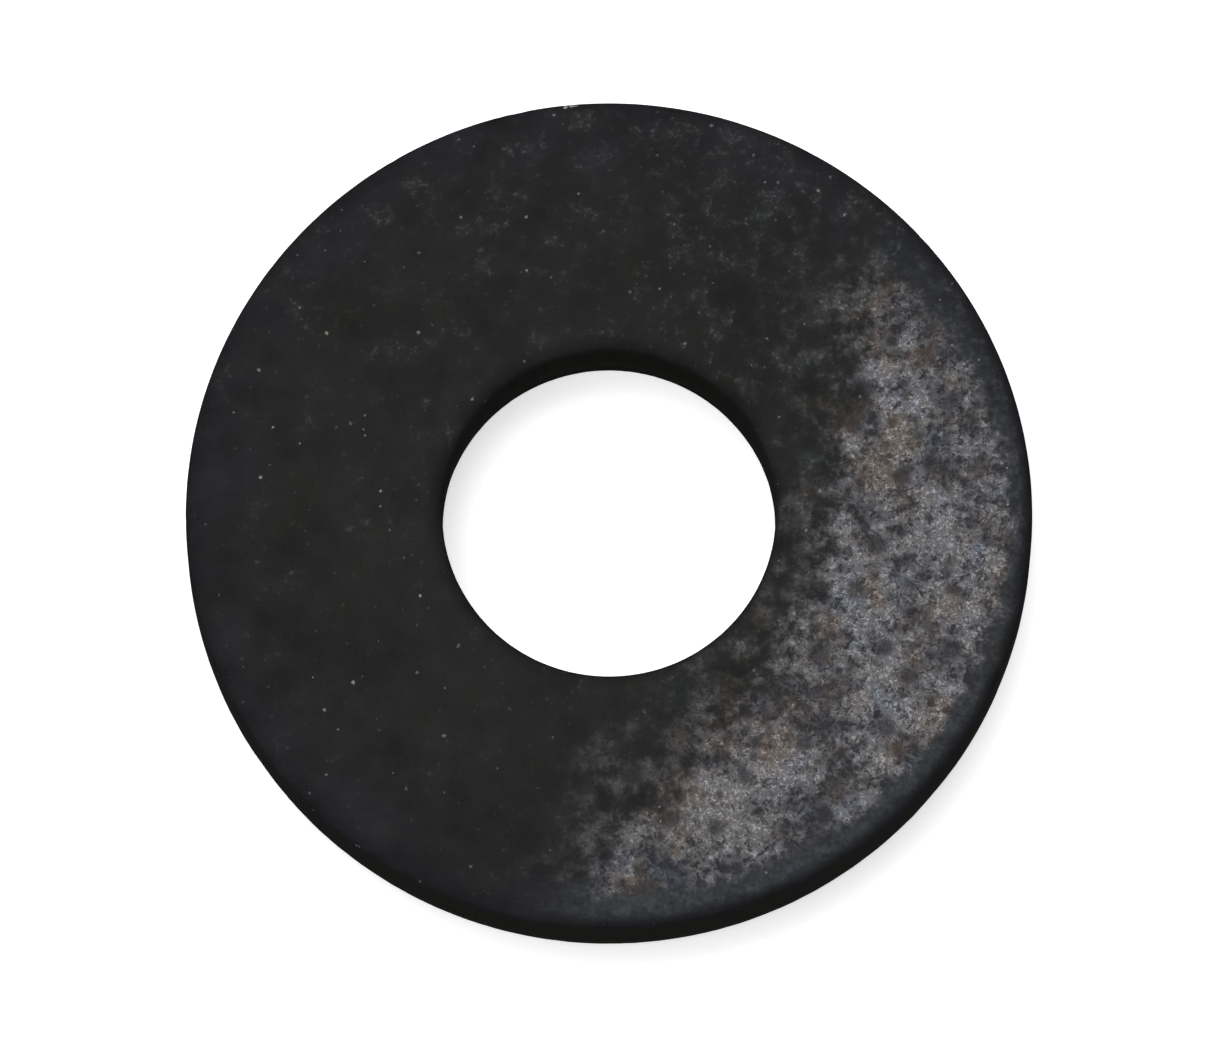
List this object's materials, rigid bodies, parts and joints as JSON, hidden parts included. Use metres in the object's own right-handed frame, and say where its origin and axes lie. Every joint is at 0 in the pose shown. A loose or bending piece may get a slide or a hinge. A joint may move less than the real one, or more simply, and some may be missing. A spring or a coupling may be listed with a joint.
{
  "type": "flat washer",
  "caption": "Thick, wide flat washer blanked from steel plate, with soft rolled edges on its top face, a sharp flat underside and a plain round bolt hole, in worn black oxide.",
  "frame": {"origin": "centre of the bolt hole on the flat underside", "axes": "+Z along the bolt hole, from the flat underside to the top face with the rolled edges; X and Y are equivalent"},
  "size_m": [0.0444, 0.0444, 0.0056],
  "materials": {
    "black_oxide_steel": "black oxide over tumbled steel, satin near-black, rubbed to a mottled grey with rust tints on one side"
  },
  "bodies": {
    "root": {"washer": "black_oxide_steel"}
  },
  "joints": []
}
